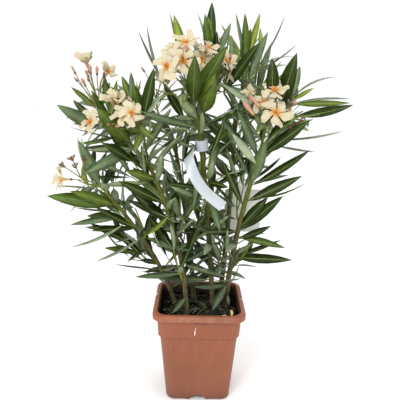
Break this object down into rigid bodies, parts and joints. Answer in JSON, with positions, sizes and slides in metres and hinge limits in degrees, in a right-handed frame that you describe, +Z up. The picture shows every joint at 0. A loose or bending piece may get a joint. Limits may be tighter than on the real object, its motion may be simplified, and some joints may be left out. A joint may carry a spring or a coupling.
{
  "type": "potted oleander",
  "caption": "Flowering evergreen patio shrub on branching stems in a square nursery pot, with narrow leaves in whorls, clustered blossom and blank plastic labels",
  "frame": {"origin": "centre of the flat underside of the pot, on the ground", "axes": "+Z up the plant, +Y to the rear, -Y towards the viewer of the picture, +X to the picture's right"},
  "size_m": [0.6225, 0.4466, 0.8552],
  "materials": {
    "pot": "scuffed satin terracotta-coloured moulded plastic",
    "compost": "dark moist peaty compost with woody bits",
    "bark": "smooth olive-green young bark, brown-grey and ringed low down",
    "foliage": "leathery dark green leaves with a pale midrib, and apricot blossom",
    "label": "blank white plastic film and card"
  },
  "bodies": {
    "root": {"bough_left_inner": "bark", "bough_left_upper": "bark", "bough_rear_left_inner": "bark", "bough_rear_left_top": "bark", "bough_rear_right_inner": "bark", "bough_rear_right_low": "bark", "bough_rear_right_top": "bark", "bough_right_front": "bark", "bough_right_outer": "bark", "bough_top": "bark", "bough_top_front": "bark", "bough_top_left": "bark", "card_label": "label", "compost": "compost", "foliage_centre_bloom": "foliage", "foliage_centre_left_side_1": "foliage", "foliage_centre_left_side_2": "foliage", "foliage_centre_left_side_3": "foliage", "foliage_centre_side_1": "foliage", "foliage_centre_side_2": "foliage", "foliage_centre_side_3": "foliage", "foliage_left_front_bloom": "foliage", "foliage_left_inner_bloom": "foliage", "foliage_left_inner_top": "foliage", "foliage_left_low": "foliage", "foliage_left_low_bloom": "foliage", "foliage_left_outer": "foliage", "foliage_left_side_1": "foliage", "foliage_left_side_2": "foliage", "foliage_left_side_3": "foliage", "foliage_left_top_bloom": "foliage", "foliage_rear_centre": "foliage", "foliage_rear_left_bloom": "foliage", "foliage_rear_left_outer": "foliage", "foliage_rear_left_side_1": "foliage", "foliage_rear_left_side_2": "foliage", "foliage_rear_right_low": "foliage", "foliage_rear_right_outer": "foliage", "foliage_rear_right_side_1": "foliage", "foliage_rear_right_side_2": "foliage", "foliage_rear_right_top": "foliage", "foliage_right_bloom": "foliage", "foliage_right_outer": "foliage", "foliage_right_side_1": "foliage", "foliage_right_side_2": "foliage", "foliage_right_side_3": "foliage", "foliage_right_top": "foliage", "foliage_top": "foliage", "foliage_top_bloom": "foliage", "foliage_top_left": "foliage", "pot": "pot", "stem_centre": "bark", "stem_centre_left": "bark", "stem_left": "bark", "stem_rear_left": "bark", "stem_rear_right": "bark", "stem_right": "bark", "strip_label": "label"}
  },
  "joints": []
}
